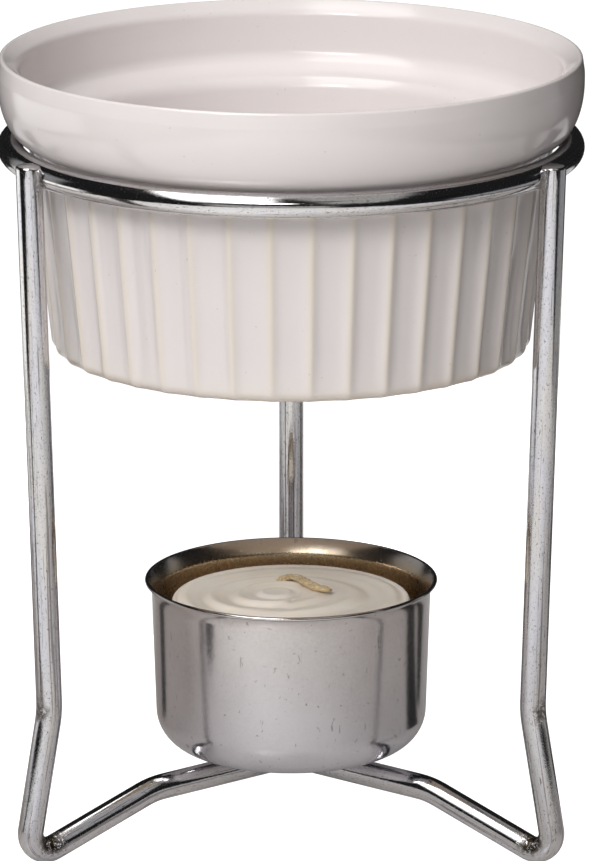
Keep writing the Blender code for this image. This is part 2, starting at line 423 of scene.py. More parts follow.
def separate(tree, vector):
    made = add(tree, "ShaderNodeSeparateXYZ")
    tree.links.new(vector, made.inputs[0])
    return made.outputs


def scaled(tree, vector, factors):
    made = add(tree, "ShaderNodeVectorMath", operation="MULTIPLY")
    tree.links.new(vector, made.inputs[0])
    made.inputs[1].default_value = factors
    return made.outputs[0]


def wire_noise(tree, wire, around, along, detail, roughness=0.55):
    """Noise on a wire: how fine it is around the wire, and along it to the metre."""
    stretched = scaled(tree, wire, (around, around, along))
    return noise_node(tree, stretched, scale=1.0, detail=detail, roughness=roughness)


GLAZE_DIM, GLAZE_BRIGHT = (0.735, 0.678, 0.664), (0.775, 0.718, 0.702)
GLAZE_THIN = (0.765, 0.680, 0.560)
GLAZE_SPECK = (0.50, 0.42, 0.36)
CLAY_DARK, CLAY_LIGHT = (0.60, 0.50, 0.40), (0.72, 0.62, 0.51)


def glaze_material():
    """White glaze, thin and warmer on ridges and at the base edge, bare clay underneath.
    The mesh's "finish" is (thin glaze, bare clay, 0)."""
    made, tree, shader = new_material("white_glaze")
    place = add(tree, "ShaderNodeTexCoord").outputs["Object"]
    thin, bare, _ = separate(tree, attribute(tree, "finish"))
    broad = noise_node(tree, place, scale=45.0, detail=2.0)
    fine = noise_node(tree, place, scale=900.0, detail=3.0)
    colour = mixed(tree, broad, GLAZE_DIM, GLAZE_BRIGHT)
    thin_share = maths(tree, "MULTIPLY", thin, ramp(tree, broad, (0.3, 0.7, 0.55, 1.0)))
    colour = mixed(tree, thin_share, colour, GLAZE_THIN)
    speck = ramp(tree, noise_node(tree, place, scale=1500.0, detail=1.0), (0.77, 0.81, 0.0, 0.5))
    colour = mixed(tree, speck, colour, GLAZE_SPECK)
    clay = mixed(tree, fine, CLAY_DARK, CLAY_LIGHT)
    colour = mixed(tree, bare, colour, clay)
    tree.links.new(colour, shader.inputs["Base Color"])
    tree.links.new(ramp(tree, bare, (0.0, 1.0, 0.11, 0.75)), shader.inputs["Roughness"])
    shader.inputs["IOR"].default_value = 1.52
    wave = noise_node(tree, place, scale=110.0, detail=1.0)
    normal = bump(tree, wave, strength=0.25, distance=0.4 * MM)
    tree.links.new(normal, shader.inputs["Normal"])
    return made


CHROME_WARM, CHROME_COOL = (0.77, 0.74, 0.69), (0.72, 0.72, 0.78)
CHROME_HAZE = (0.60, 0.59, 0.60)
CHROME_STREAK = (0.24, 0.21, 0.20)
CHROME_SCORE = (0.12, 0.105, 0.10)
CHROME_PIT = (0.16, 0.145, 0.14)
CRUST = (0.055, 0.038, 0.022)


def chrome_material():
    """Plated wire: die lines and streaks along its length, scores, fine pits, a faint haze and
    baked-on crust. The mesh's "wire" is (cos, sin, length) round and along the wire, and its
    "finish" is (baked-on dirt, 0, 0)."""
    made, tree, shader = new_material("chrome_wire")
    wire = attribute(tree, "wire")
    dirt, _, _ = separate(tree, attribute(tree, "finish"))
    lines = wire_noise(tree, wire, around=14.0, along=26.0, detail=3.0)
    pits = wire_noise(tree, wire, around=8.0, along=2400.0, detail=4.0, roughness=0.7)
    cloud = wire_noise(tree, wire, around=1.5, along=130.0, detail=2.0)
    haze = wire_noise(tree, wire, around=3.0, along=420.0, detail=4.0, roughness=0.65)
    tint = wire_noise(tree, wire, around=1.2, along=45.0, detail=2.0)
    streaks = wire_noise(tree, wire, around=4.5, along=36.0, detail=5.0, roughness=0.62)
    scores = wire_noise(tree, wire, around=11.0, along=520.0, detail=3.0)
    crust = wire_noise(tree, wire, around=3.0, along=1500.0, detail=4.0, roughness=0.65)
    pit_mask = ramp(tree, pits, (0.58, 0.67, 0.0, 1.0))
    crust_mask = maths(tree, "MULTIPLY", dirt, ramp(tree, crust, (0.44, 0.50, 0.0, 1.0)))
    bright = mixed(tree, ramp(tree, tint, (0.4, 0.6, 0.0, 1.0)), CHROME_WARM, CHROME_COOL)
    colour = mixed(tree, haze, CHROME_HAZE, bright)
    colour = mixed(tree, ramp(tree, streaks, (0.575, 0.62, 0.0, 0.75)), colour, CHROME_STREAK)
    colour = mixed(tree, ramp(tree, scores, (0.66, 0.70, 0.0, 0.85)), colour, CHROME_SCORE)
    colour = mixed(tree, pit_mask, colour, CHROME_PIT)
    colour = mixed(tree, crust_mask, colour, CRUST)
    tree.links.new(colour, shader.inputs["Base Color"])
    shader.inputs["Metallic"].default_value = 1.0
    rough = ramp(tree, cloud, (0.3, 0.7, 0.05, 0.13))
    rough = maths(tree, "ADD", rough, maths(tree, "MULTIPLY", pit_mask, 0.25))
    rough = maths(tree, "ADD", rough, maths(tree, "MULTIPLY", crust_mask, 0.35))
    tree.links.new(rough, shader.inputs["Roughness"])
    normal = bump(tree, lines, strength=0.4, distance=0.015 * MM)
    normal = bump(tree, pits, strength=0.3, distance=0.02 * MM, normal=normal)
    normal = bump(tree, crust_mask, strength=0.5, distance=0.1 * MM, normal=normal)
    tree.links.new(normal, shader.inputs["Normal"])
    return made


STEEL_COOL = (0.600, 0.590, 0.635), (0.660, 0.650, 0.700)
STEEL_WARM = (0.590, 0.550, 0.530), (0.665, 0.625, 0.605)
STEEL_GRAIN = (0.70, 0.67, 0.675)
STEEL_SPECK = (0.26, 0.23, 0.22)
STEEL_SCRATCH = (0.30, 0.27, 0.26)
STEEL_HEATED = (0.68, 0.51, 0.30)


def steel_material():
    """Drawn stainless sheet with a satin, slightly speckled skin, warmer towards the lip.
    The mesh's "finish" is (heat tint, 0, 0)."""
    made, tree, shader = new_material("satin_steel")
    place = add(tree, "ShaderNodeTexCoord").outputs["Object"]
    heat, _, _ = separate(tree, attribute(tree, "finish"))
    grain = noise_node(tree, place, scale=1900.0, detail=4.0, roughness=0.65)
    cloud = noise_node(tree, place, scale=75.0, detail=3.0, roughness=0.6)
    specks = noise_node(tree, place, scale=1100.0, detail=4.0, roughness=0.7)
    stretched = scaled(tree, place, (1300.0, 1300.0, 260.0))
    scratch = noise_node(tree, stretched, scale=1.0, detail=3.0, roughness=0.6)
    scratch_mask = ramp(tree, scratch, (0.685, 0.70, 0.0, 0.6))
    cloud_share = ramp(tree, cloud, (0.35, 0.65, 0.0, 1.0))
    rise = ramp(tree, separate(tree, place)[2], (CUP_BASE, CUP_NECK, 0.0, 1.0))
    low, high = mixed(tree, cloud_share, *STEEL_COOL), mixed(tree, cloud_share, *STEEL_WARM)
    colour = mixed(tree, rise, low, high)
    colour = mixed(tree, ramp(tree, grain, (0.35, 0.65, 0.0, 0.5)), colour, STEEL_GRAIN)
    colour = mixed(tree, ramp(tree, specks, (0.645, 0.69, 0.0, 0.75)), colour, STEEL_SPECK)
    colour = mixed(tree, scratch_mask, colour, STEEL_SCRATCH)
    colour = mixed(tree, heat, colour, STEEL_HEATED)
    tree.links.new(colour, shader.inputs["Base Color"])
    shader.inputs["Metallic"].default_value = 1.0
    rough = ramp(tree, grain, (0.3, 0.7, 0.12, 0.18))
    rough = maths(tree, "ADD", rough, maths(tree, "MULTIPLY", heat, 0.16))
    tree.links.new(rough, shader.inputs["Roughness"])
    smoothed = maths(tree, "MULTIPLY", grain, ramp(tree, heat, (0.0, 0.6, 1.0, 0.25)))
    normal = bump(tree, smoothed, strength=0.25, distance=0.03 * MM)
    normal = bump(tree, scratch_mask, strength=-0.3, distance=0.03 * MM, normal=normal)
    tree.links.new(normal, shader.inputs["Normal"])
    return made


WAX_DIM, WAX_BRIGHT = (0.96, 0.86, 0.75), (1.0, 0.95, 0.88)
WAX_BLOTCH = (0.90, 0.80, 0.66)


def wax_material():
    made, tree, shader = new_material("beige_wax")
    place = add(tree, "ShaderNodeTexCoord").outputs["Object"]
    mottle = noise_node(tree, place, scale=320.0, detail=5.0, roughness=0.6)
    blotch = noise_node(tree, place, scale=120.0, detail=2.0)
    colour = mixed(tree, mottle, WAX_DIM, WAX_BRIGHT)
    colour = mixed(tree, ramp(tree, blotch, (0.4, 0.7, 0.0, 0.35)), colour, WAX_BLOTCH)
    tree.links.new(colour, shader.inputs["Base Color"])
    tree.links.new(ramp(tree, mottle, (0.3, 0.7, 0.28, 0.48)), shader.inputs["Roughness"])
    shader.inputs["Subsurface Weight"].default_value = 0.2
    shader.inputs["Subsurface Radius"].default_value = (4 * MM, 3 * MM, 2 * MM)
    shader.inputs["Subsurface Scale"].default_value = 0.5
    normal = bump(tree, mottle, strength=0.35, distance=0.3 * MM)
    tree.links.new(normal, shader.inputs["Normal"])
    return made


COTTON_DARK, COTTON_LIGHT = (0.42, 0.25, 0.08), (1.0, 0.80, 0.48)


def cotton_material():
    made, tree, shader = new_material("wick_cotton")
    twist = wire_noise(tree, attribute(tree, "wire"), around=4.0, along=1400.0, detail=3.0)
    fibres = ramp(tree, twist, (0.3, 0.65, 0.0, 1.0))
    colour = mixed(tree, fibres, COTTON_DARK, COTTON_LIGHT)
    tree.links.new(colour, shader.inputs["Base Color"])
    shader.inputs["Roughness"].default_value = 0.85
    shader.inputs["Sheen Weight"].default_value = 0.3
    normal = bump(tree, fibres, strength=0.6, distance=0.3 * MM)
    tree.links.new(normal, shader.inputs["Normal"])
    return made


TIN_DARK, TIN_LIGHT = (0.58, 0.58, 0.60), (0.72, 0.72, 0.73)


def tin_material():
    made, tree, shader = new_material("tinned_plate")
    place = add(tree, "ShaderNodeTexCoord").outputs["Object"]
    spangle = noise_node(tree, place, scale=500.0, detail=4.0)
    colour = mixed(tree, spangle, TIN_DARK, TIN_LIGHT)
    tree.links.new(colour, shader.inputs["Base Color"])
    shader.inputs["Metallic"].default_value = 1.0
    tree.links.new(ramp(tree, spangle, (0.3, 0.7, 0.22, 0.42)), shader.inputs["Roughness"])
    return made


# Ramekin

def body_radius(height):
    return BODY_RADIUS + BODY_SLOPE * (height - BODY_HEIGHT)


def ramekin_outline():
    corner_radius = body_radius(POT_BASE + BASE_CORNER)
    corner = (corner_radius - BASE_CORNER, POT_BASE + BASE_CORNER)
    recess = POT_BASE + BASE_RECESS
    foot = [(0.0, recess), (FOOT_INNER - FOOT_STEP, recess), (FOOT_INNER + FOOT_STEP, POT_BASE)]
    outline = rounded(foot, (FOOT_STEP_BEND,), degrees_a_step=15)
    outline += arc(corner, (BASE_CORNER, BASE_CORNER), -90, 0, steps=8)
    outline += [(body_radius(FLUTE_TOP), FLUTE_TOP)]
    outline += arc(BAND_CENTRE, BAND_SIZE, *BAND_ARC, steps=24)
    inner = [
        (BAND_CENTRE[0] + BAND_SIZE[0], BAND_CENTRE[1]),
        LIP_FOOT,
        RIM_EDGE,
        RIM_INNER,
        LEDGE_TOP,
        LEDGE_FOOT,
        (BOWL_FLOOR_RADIUS, BOWL_FLOOR),
        (0.0, BOWL_FLOOR),
    ]
    bends = (LIP_BEND, RIM_EDGE_BEND, RIM_INNER_BEND, LEDGE_BEND, LEDGE_BEND, BOWL_FLOOR_BEND)
    outline += rounded(inner, bends, degrees_a_step=7)
    return divided(outline, POT_STRETCH)


def flute_shape(angle):
    """Depth share across one flute, 1 in its middle and 0 on its rounded ridges, and the place
    across it, from 0 in the middle to 1 on a ridge."""
    turn = angle * FLUTES / (2 * math.pi)
    across = abs((turn + 0.5) % 1.0 - 0.5) * 2
    top = 1 - RIDGE_START
    slope = FLUTE_POWER * RIDGE_START ** (FLUTE_POWER - 1)
    crest = 1 - RIDGE_START**FLUTE_POWER - slope * top / 2
    if across <= RIDGE_START:
        depth = 1 - across**FLUTE_POWER
    else:
        past = across - RIDGE_START
        depth = 1 - RIDGE_START**FLUTE_POWER - slope * (past - past**2 / (2 * top))
    return (depth - crest) / (1 - crest), across


def ramekin_shape(angle, radius, height):
    """Flutes on the outer body, a slight unevenness of the hand-dipped glaze, and its finish."""
    outside = height < FLUTE_TOP and radius > body_radius(height) - FLUTE_SKIN
    depth, across = flute_shape(angle)
    reach, thin, bare = radius, 0.0, 0.0
    if outside:
        fade = smooth_step(0.0, FLUTE_FADE, FLUTE_TOP - height)
        above = height - POT_BASE
        low = FLUTE_LOW_SHARE + (1 - FLUTE_LOW_SHARE) * smooth_step(*FLUTE_LOW, above)
        reach -= FLUTE_DEPTH * depth * fade * low
        ridge = smooth_step(*RIDGE_GLAZE, across)
        thin = max(RIDGE_THIN * ridge * fade, EDGE_THIN * smooth_step(*EDGE_GLAZE, above))
        bare = smooth_step(*EDGE_BARE, above)
    elif height < POT_BASE + UNDER_BARE:
        bare = 1.0
    sample = Vector((math.cos(angle), math.sin(angle), height * 20)) * GLAZE_WAVES
    reach += GLAZE_WAVE * noise.noise(sample) * min(1.0, radius / FOOT_INNER)
    return reach, height, (thin, bare, 0.0)


def make_ramekin(surface):
    segments = FLUTES * FLUTE_SEGMENTS
    piece = lathe("ramekin_glazed", ramekin_outline(), segments, surface, shape=ramekin_shape)
    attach(piece, "pot")
    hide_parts("ramekin")


# Stand

def make_ring(surface):
    circle = arc((RING_RADIUS, RING_HEIGHT), (WIRE_RADIUS, WIRE_RADIUS), 0, 360, WIRE_SIDES)[:-1]
    piece = lathe("ring_wire", circle, RING_SEGMENTS, surface, closed=True)
    values = []
    for index in range(len(circle)):
        around = 2 * math.pi * index / WIRE_SIDES
        for segment in range(RING_SEGMENTS):
            travelled = RING_RADIUS * 2 * math.pi * segment / RING_SEGMENTS
            values.append((math.cos(around), math.sin(around), travelled))
    set_attribute(piece.data, "wire", values)
    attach(piece, "stand")
    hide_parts("support_ring")


def leg_path():
    """From the top of the leg, with short steps first for the rounding, to the end of the arm."""
    corners = [LEG_TOP, LEG_KINK, FOOT_CORNER, ARM_BEND_POINT, ARM_END]
    bends = (LEG_KINK_BEND, FOOT_BEND, ARM_BEND)
    path = divided(rounded(corners, bends, degrees_a_step=4), LEG_STRETCH)
    start, end = Vector(path[0]), Vector(path[1])
    top = [tuple(start.lerp(end, step / CUT_DIVISIONS)) for step in range(CUT_STEPS)]
    return top + path[1:]


def leg_dirt(point):
    """Baked-on dirt in the inner crook of the foot and in the hollow of the kink."""
    reach = math.hypot(point.x - AXIS.x, point.y - AXIS.y)
    crook = math.dist((reach, point.z), FOOT_CROOK)
    kink = math.dist((reach, point.z), LEG_HOLLOW)
    foot_share = 1 - smooth_step(*FOOT_DIRT, crook)
    return max(foot_share, HOLLOW_DIRT_SHARE * (1 - smooth_step(*HOLLOW_DIRT, kink)))


def wire_radius(length):
    """Full thickness but for a small burr-free rounding at the cut top end."""
    if length < CUT_ROUNDING:
        return WIRE_RADIUS - CUT_ROUNDING + math.sqrt(CUT_ROUNDING**2 - (CUT_ROUNDING - length) ** 2)
    return WIRE_RADIUS


def make_legs(surface):
    path = leg_path()
    for place, angle in LEG_ANGLES.items():
        piece = sweep("leg_wire_" + place, path, wire_radius, WIRE_SIDES, surface, angle)
        for vertex in piece.data.vertices:
            vertex.co.z = max(vertex.co.z, 0.0)
        dirt = [(leg_dirt(vertex.co), 0.0, 0.0) for vertex in piece.data.vertices]
        set_attribute(piece.data, "finish", dirt)
        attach(piece, "stand")
        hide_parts("leg_" + place)


def nugget(name, place, size, turn, surface, seed, stain):
    """A squeezed bead of weld: a ball pressed to size with an uneven skin. Its "finish" is stain,
    baked-on dirt on chrome and heat tint on steel."""
    bpy.ops.mesh.primitive_ico_sphere_add(subdivisions=4, radius=1.0)
    made = bpy.context.object
    made.name = name
    made.data.name = name
    spin = math.radians(turn)
    for vertex in made.data.vertices:
        lump = 1 + WELD_LUMPS[0] * noise.noise(vertex.co * WELD_LUMPS[1] + Vector((seed, 0, 0)))
        lump += WELD_BUMPS[0] * noise.noise(vertex.co * WELD_BUMPS[1] + Vector((0, seed, 0)))
        local = Vector(a * b * lump for a, b in zip(vertex.co, size)) + Vector(place)
        vertex.co = (
            AXIS.x + local.x * math.cos(spin) - local.y * math.sin(spin),
            AXIS.y + local.x * math.sin(spin) + local.y * math.cos(spin),
            local.z,
        )
    made.data.shade_smooth()
    made.data.materials.append(surface)
    set_attribute(made.data, "wire", [vertex.co * WELD_GRAIN for vertex in made.data.vertices])
    set_attribute(made.data, "finish", [(stain, 0.0, 0.0)] * len(made.data.vertices))
    return made


def make_welds(chrome, steel):
    seed = 0
    for place, angle in LEG_ANGLES.items():
        for name, way in (("a", 1), ("b", -1)):
            seed += 1
            spot = (RING_WELD[0], way * RING_WELD[1], RING_WELD[2])
            label = "ring_flash_" + place + "_" + name
            piece = nugget(label, spot, RING_WELD_SIZE, angle, chrome, seed * 3.1, RING_WELD_DIRT)
            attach(piece, "stand")
            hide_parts("ring_weld_" + place + "_" + name)
        label = "cup_spot_" + place
        piece = nugget(label, CUP_WELD, CUP_WELD_SIZE, angle, steel, seed, CUP_WELD_HEAT)
        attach(piece, "stand")
        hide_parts("cup_weld_" + place)


# Cup and tealight

def cup_outline():
    corner = (CUP_LOWER_RADIUS - CUP_CORNER, CUP_BASE + CUP_CORNER)
    outer = [(0.0, CUP_BASE)] + arc(corner, (CUP_CORNER, CUP_CORNER), -90, 0, steps=14)
    flare = CUP_LIP_RADIUS - CUP_UPPER_RADIUS
    lip = CUP_LIP_TOP - CUP_SHEET / 2
    outer += [(CUP_UPPER_RADIUS, CUP_NECK)]
    outer += arc((CUP_LIP_RADIUS, CUP_NECK), (flare, lip - CUP_NECK), *LIP_CURVE, steps=6)
    rim = arc((CUP_LIP_RADIUS - CUP_SHEET / 2, lip), (CUP_SHEET / 2, CUP_SHEET / 2), -30, 150, steps=8)
    inside = CUP_CORNER - CUP_SHEET
    wall = CUP_UPPER_RADIUS - CUP_SHEET
    flare_drop = (rim[-1][0] - wall) / math.tan(math.radians(LIP_FLARE_ANGLE))
    inner = [rim[-1], (wall, rim[-1][1] - flare_drop), (wall, CUP_NECK - LIP_FLARE_DROP)]
    inner = rounded(inner, (LIP_FLARE_BEND,), degrees_a_step=6)[1:]
    inner += arc(corner, (inside, inside), 0, -90, steps=12)
    inner += [(0.0, CUP_BASE + CUP_SHEET)]
    return divided(outer + rim + inner, CUP_STRETCH)


def inside_cup(radius, height):
    """Whether a point of the cup's outline is on its inner face."""
    corner_radius, corner_height = CUP_LOWER_RADIUS - CUP_CORNER, CUP_BASE + CUP_CORNER
    if height > corner_height:
        rise = (height - CUP_BASE) / (CUP_NECK - CUP_BASE)
        wall = CUP_LOWER_RADIUS + (CUP_UPPER_RADIUS - CUP_LOWER_RADIUS) * rise
        return radius < wall - CUP_SHEET * 0.7
    if radius > corner_radius:
        return math.dist((radius, height), (corner_radius, corner_height)) < CUP_CORNER - CUP_SHEET / 2
    return height > CUP_BASE + CUP_SHEET / 2


def cup_shape(angle, radius, height):
    """Inside the cup the steel is tinted by the flame."""
    heat = smooth_step(CUP_LIP_TOP + CUP_HEAT_START, CUP_NECK, height)
    if not inside_cup(radius, height):
        heat = 0.0
    return radius, height, (CUP_HEAT * heat, 0.0, 0.0)


def make_cup(surface):
    piece = lathe("candle_cup_drawn", cup_outline(), CUP_SEGMENTS, surface, shape=cup_shape)
    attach(piece, "stand")
    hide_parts("candle_cup")


def wax_outline():
    recess = WAX_BOTTOM + PLATE_SHEET + 0.35 * MM
    neck = WAX_BOTTOM + NECK_HOLE_TOP
    clear = PLATE_RADIUS + PLATE_GAP
    side, edge = WAX_RADIUS - WAX_EDGE, (WAX_EDGE, WAX_EDGE)
    outline = [(0.0, neck), (NECK_HOLE, neck), (NECK_HOLE, recess), (clear, recess)]
    outline += [(clear, WAX_BOTTOM)] + arc((side, WAX_BOTTOM + WAX_EDGE), edge, -90, 0, steps=5)
    outline += arc((side, WAX_TOP - WAX_EDGE), edge, 0, 90, steps=6) + [(0.0, WAX_TOP)]
    return divided(outline, WAX_STRETCH)


def wax_shape(angle, radius, height):
    """The top has the rings of a puck that has melted and set, low in the middle. The inner
    rings have a centre of their own."""
    level = height
    if height > WAX_TOP - 0.01 * MM:
        share = radius / WAX_RADIUS
        x, y = radius * math.cos(angle) - WAX_CENTRE[0], radius * math.sin(angle) - WAX_CENTRE[1]
        off_centre = math.hypot(x, y) / WAX_RADIUS
        share = off_centre + (share - off_centre) * smooth_step(*WAX_CENTRE_FADE, share)
        around = (math.cos(angle), math.sin(angle))
        wander = share + WAX_RING_WANDER * noise.noise(Vector((*around, share)) * 1.1)
        strength = 1 + WAX_RING_UNEVEN * noise.noise(Vector((*around, share * 2)) * 0.9)
        phase = 2 * math.pi * (wander - WAX_RING_START) / WAX_RING_SPACING
        swell = math.cos(phase) + WAX_RING_SECOND * math.sin(2 * phase)
        ring = WAX_RING_HEIGHT * swell * strength
        for end in WAX_RING_ENDS:
            ring *= smooth_step(*end, share)
        uneven = WAX_UNEVEN * noise.noise(Vector((*around, share * 3)) * 1.3)
        dish = WAX_DISH * smooth_step(*WAX_DISH_SLOPE, share)
        level += ring + uneven - dish - WAX_SINK
    return radius, level, (0.0, 0.0, 0.0)


def wick_route(up, under, top):
    """Places along the wick, x and y in millimetres from the axis and z in metres: up through
    the wax, out to the back below its top, and over the top back past the middle."""
    return (
        (0.0, 0.0, up), (0.0, 0.0, under - 1.5 * MM), (-0.2, 1.2, under), (-1.4, 5.5, under),
        (-1.9, 9.6, under + 0.4 * MM), (-0.9, 11.6, top - 0.2 * MM), (0.9, 10.2, top + 0.25 * MM),
        (2.4, 7.4, top + 0.3 * MM), (4.0, 4.8, top + 0.25 * MM), (6.2, 3.0, top + 0.3 * MM),
    )


def smooth_line(points, steps):
    """A smooth curve through all of the points."""
    ends = [points[0] * 2 - points[1], *points, points[-1] * 2 - points[-2]]
    made = []
    for before, start, end, after in zip(ends, ends[1:], ends[2:], ends[3:]):
        for step in range(steps):
            t = step / steps
            pull = (end - before) * t + (before * 2 - start * 5 + end * 4 - after) * t**2
            pull += (start * 3 - before - end * 3 + after) * t**3
            made.append(start + pull / 2)
    return made + [points[-1]]


def wick_strand(surface):
    """The wick comes up through the wax, was drowned in it as it set, and lies flat on its top."""
    up, under, top = WAX_BOTTOM + WICK_START, WAX_TOP - WICK_SUNK, WAX_TOP - WICK_LAID
    route = [Vector((x * MM, y * MM, z)) for x, y, z in wick_route(up, under, top)]
    path = smooth_line(route, WICK_STEPS)
    points, along, faces, sides = [], [], [], WICK_SIDES
    length = 0.0
    for index, place in enumerate(path):
        before, after = path[max(index - 1, 0)], path[min(index + 1, len(path) - 1)]
        length += (place - before).length
        forward = (after - before).normalized()
        side_way = forward.cross(Vector((0, 0, 1)))
        side_way = side_way.normalized() if side_way.length > 0.2 else Vector((0, 1, 0))
        lift = side_way.cross(forward)
        left = (len(path) - 1 - index) / WICK_END_STEPS
        end = min(1.0, WICK_END_SHARE + (1 - WICK_END_SHARE) * left)
        for side in range(sides):
            angle = 2 * math.pi * side / sides
            twist = 1.0
            for strands, turns, share in WICK_TWISTS:
                twist += share * math.sin(strands * angle + turns * length)
            across, rise = WICK_WIDTH / 2 * math.cos(angle), WICK_THICKNESS / 2 * math.sin(angle)
            points.append(AXIS + place + (side_way * across + lift * rise) * twist * end)
            along.append((math.cos(angle), math.sin(angle), length))
    for row in range(len(path) - 1):
        for side in range(sides):
            after = (side + 1) % sides
            low, high = row * sides, (row + 1) * sides
            faces.append((low + side, low + after, high + after, high + side))
    faces.append(list(reversed(range(sides))))
    faces.append([(len(path) - 1) * sides + side for side in range(sides)])
    return mesh_object("wick_braid", points, faces, surface, [("wire", along)])


def make_tealight(wax, cotton, tin):
    piece = lathe("wax_puck", wax_outline(), WAX_SEGMENTS, wax, shape=wax_shape)
    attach(piece, "candle")
    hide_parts("tealight_wax")

    bore, neck = NECK_RADII
    top = WAX_BOTTOM + PLATE_SHEET
    edge, fillet = PLATE_SHEET / 2, 0.25 * MM
    outline = [(bore, WAX_BOTTOM), (PLATE_RADIUS - 0.1 * MM, WAX_BOTTOM)]
    outline += arc((PLATE_RADIUS - edge, top - edge), (edge, edge), -90, 90, steps=6)
    outline += arc((neck + fillet, top + fillet), (fillet, fillet), -90, -180, steps=4)
    outline += [(neck, top + NECK_HEIGHT), (bore, top + NECK_HEIGHT)]
    piece = lathe("sustainer_plate", outline, PLATE_SEGMENTS, tin, closed=True)
    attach(piece, "candle")
    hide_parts("wick_sustainer")

    piece = wick_strand(cotton)
    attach(piece, "candle")
    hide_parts("wick")


# Studio

# the camera's place from the stand's axis and the floor, its pitch below level, and its lens
CAMERA_BACK = 0.941
CAMERA_HEIGHT = 0.31255
CAMERA_SIDE = 0.00053
CAMERA_PITCH = 14.844
CAMERA_LENS = 261.7
CAMERA_SENSOR = 36.0
CAMERA_CLIP = (0.05, 20.0)


def make_camera():
    data = bpy.data.cameras.new("camera")
    data.lens = CAMERA_LENS
    data.sensor_width = CAMERA_SENSOR
    data.clip_start, data.clip_end = CAMERA_CLIP
    camera = bpy.data.objects.new("camera", data)
    camera.location = (AXIS.x + CAMERA_SIDE, AXIS.y - CAMERA_BACK, CAMERA_HEIGHT)
    camera.rotation_euler = (math.radians(90 - CAMERA_PITCH), 0, 0)
    bpy.context.scene.collection.objects.link(camera)
    bpy.context.scene.camera = camera


# the paper behind as the camera sees it, and the room as the object mirrors it
PAPER = (1.0, 1.0, 1.0, 1.0)
PAPER_LIGHT = 1.1
ROOM = (0.95, 0.97, 1.0, 1.0)
ROOM_LIGHT = 0.015

# left, right, front and back edges of the sheet, from the stand's axis
FLOOR_EDGES = (-0.285, 0.27, 1.2, 0.28)
FLOOR_COLOUR = (0.76, 0.75, 0.745)
# the colour of the sheet in its painted shadow
FLOOR_SHADOW_COLOUR = (0.09, 0.045, 0.02)
FLOOR_GLOW = 0.25
FLOOR_SEEN = 1.0
FLOOR_DROP = 0.02 * MM

# where the sheet is dim with painted shadow: x and y from the axis, the radii where that is full and
# over, and how dim
FLOOR_SHADES = (
    (-0.095, 0.045, 0.05, 0.14, 0.33),
    (0.130, 0.015, 0.07, 0.21, 0.47),
)

# black strips laid on the sheet as painted shadow: two ends from the stand's axis, and the half width
# at each
SHADOW_STRIPS = (
    ((0.050, 0.020), (0.30, 0.105), 0.010, 0.022),
    ((0.060, 0.040), (0.24, 0.205), 0.004, 0.044),
    ((-0.055, 0.035), (-0.23, 0.195), 0.005, 0.027),
    ((-0.012, 0.100), (-0.012, 0.28), 0.016, 0.034),
    ((-0.094, -0.042), (-0.30, -0.128), 0.007, 0.028),
)
# the colour of the painted shadow strips
SHADOW_STRIP_COLOUR = (0.02, 0.02, 0.02, 1)

# name, azimuth, elevation, half width, half height, roll, tilt, pan, radiance: a box's middle is
# 1 m off. Azimuth 0 is at the camera's side, and 90 to the right of it. Angles are in degrees.
LIGHTS = (
    ("key_box", -72.1, 72.5, 0.29, 0.94, 27.3, -35.0, 29.3, 3.5),
    ("fill_box", 39.1, 61.3, 0.33, 1.17, -19.0, 6.4, 0.3, 0.39),
    ("spark_box", -25.0, 36.0, 0.10, 0.13, 0.0, 0.0, 0.0, 12.0),
    ("lip_box", -9.0, 31.0, 0.17, 0.06, 0.0, 0.0, 0.0, 6.0),
    ("front_card", -8.0, 3.0, 0.50, 0.17, 0.0, 0.0, 0.0, 0.42),
    ("left_card", -118.0, 6.0, 0.40, 0.36, 0.0, 0.0, 0.0, 0.30),
    ("right_card", 118.0, 4.0, 0.14, 0.30, 0.0, 0.0, 0.0, 0.28),
    ("left_low", -112.0, -14.0, 0.52, 0.12, 0.0, 0.0, 0.0, 1.25),
    ("right_low", 98.0, -14.0, 0.75, 0.12, 0.0, 0.0, 0.0, 0.30),
    ("front_fill", -14.0, 32.0, 0.36, 0.22, 0.0, 0.0, 0.0, 3.4),
    ("back_fill", 180.0, 35.0, 0.60, 0.40, 0.0, 0.0, 0.0, 0.8),
)
LIGHT_AIM = Vector((0, 0, 0.10))
# the share of a box's width that its light fades over, and the boxes that nothing mirrors
EDGE_FADE = 0.16
UNMIRRORED = ("front_fill", "back_fill")


def make_sheet(name, edges, material):
    left, right, front, back = edges
    corners = [(left, -front), (right, -front), (right, back), (left, back)]
    mesh = bpy.data.meshes.new(name)
    mesh.from_pydata([(AXIS.x + x, AXIS.y + y, 0.0) for x, y in corners], [], [(0, 1, 2, 3)])
    mesh.materials.append(material)
    sheet = bpy.data.objects.new(name, mesh)
    sheet.location.z = -FLOOR_DROP
    bpy.context.scene.collection.objects.link(sheet)


def make_shadow_strips():
    """Painted shadow: black strips on the floor, out of view, that draw dark lines on the bright
    metal.
    """
    material, _, shader = new_material("painted_shadow_strip")
    shader.inputs["Base Color"].default_value = SHADOW_STRIP_COLOUR
    shader.inputs["Roughness"].default_value = 1.0
    for index, (start, end, near, far) in enumerate(SHADOW_STRIPS):
        start, end = Vector((*start, 0)) + AXIS, Vector((*end, 0)) + AXIS
        side = (end - start).normalized().cross(Vector((0, 0, 1)))
        corners = [start - side * near, start + side * near, end + side * far, end - side * far]
        mesh = bpy.data.meshes.new("strip_" + str(index))
        mesh.from_pydata(corners, [], [(0, 1, 2, 3)])
        mesh.materials.append(material)
        strip = bpy.data.objects.new("strip_" + str(index), mesh)
        strip.visible_camera = False
        bpy.context.scene.collection.objects.link(strip)


